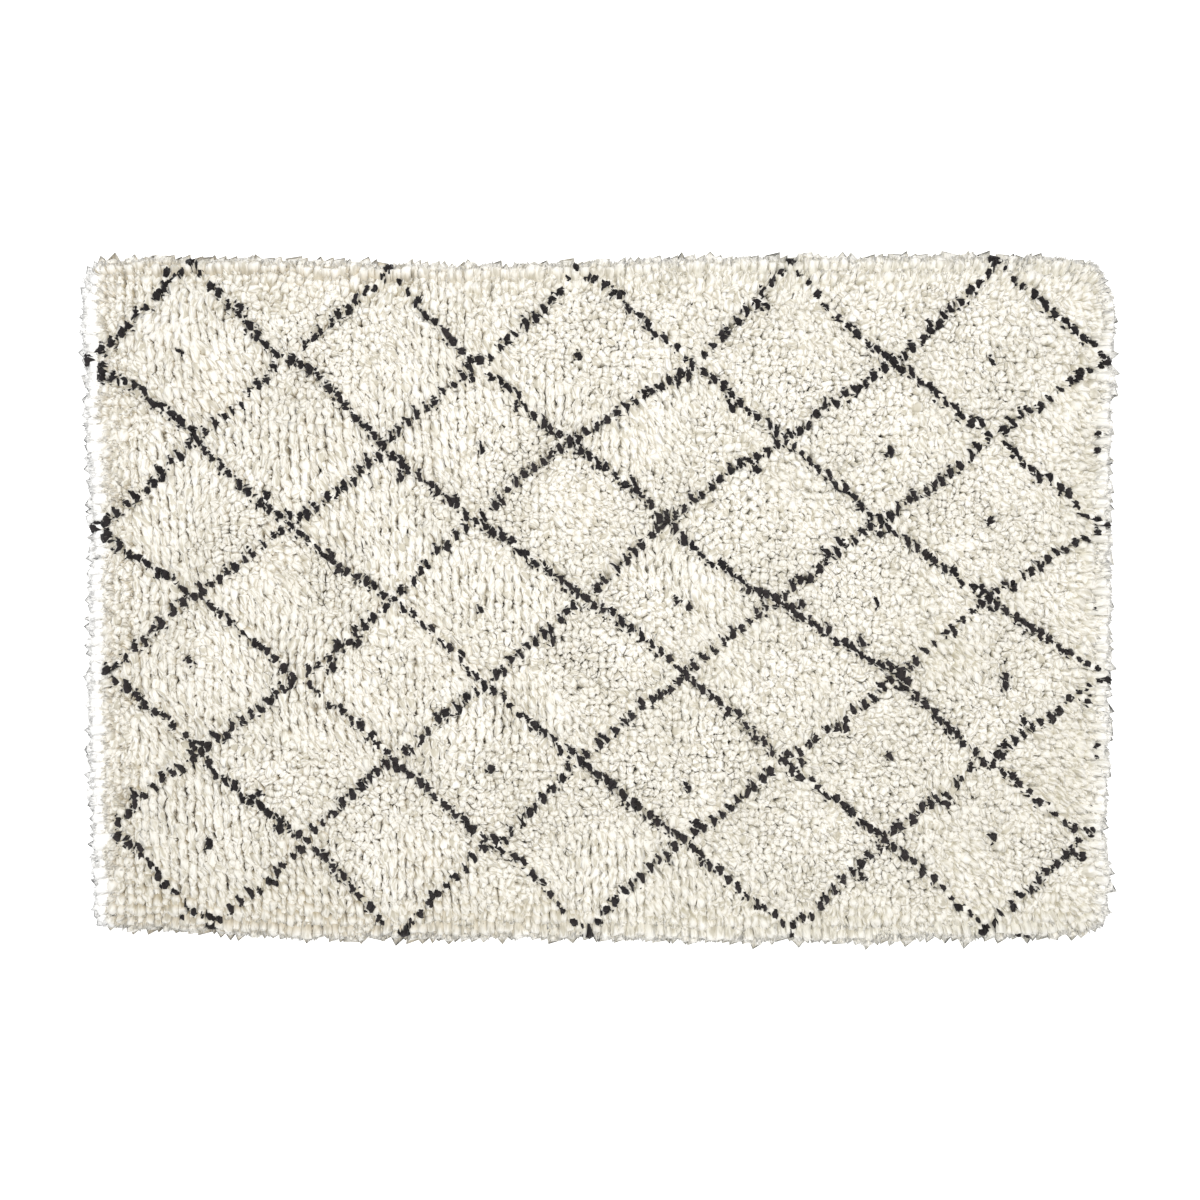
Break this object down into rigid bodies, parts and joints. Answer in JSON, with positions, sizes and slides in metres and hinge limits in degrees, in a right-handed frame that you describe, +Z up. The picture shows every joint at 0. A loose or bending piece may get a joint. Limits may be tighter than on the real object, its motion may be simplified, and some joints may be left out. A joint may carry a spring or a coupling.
{
  "type": "hand-knotted shag pile rug",
  "caption": "Flat rectangular hand-knotted wool rug with a deep cream shag pile, splayed tufts at its rim and a thin dark lozenge lattice.",
  "frame": {"origin": "middle of the rug's box at the underside, where it rests on the floor", "axes": "+Z up out of the pile, +X along the rug's length, +Y across its width"},
  "size_m": [1.8206, 1.2142, 0.0329],
  "materials": {
    "wool_pile": "thick undyed cream wool pile, matt and soft",
    "charcoal_knots": "single knots of charcoal wool that draw the lattice in the pile",
    "woven_ground": "plain undyed wool warp and weft, seen only from below"
  },
  "bodies": {
    "root": {"rug": "wool_pile"}
  },
  "joints": []
}
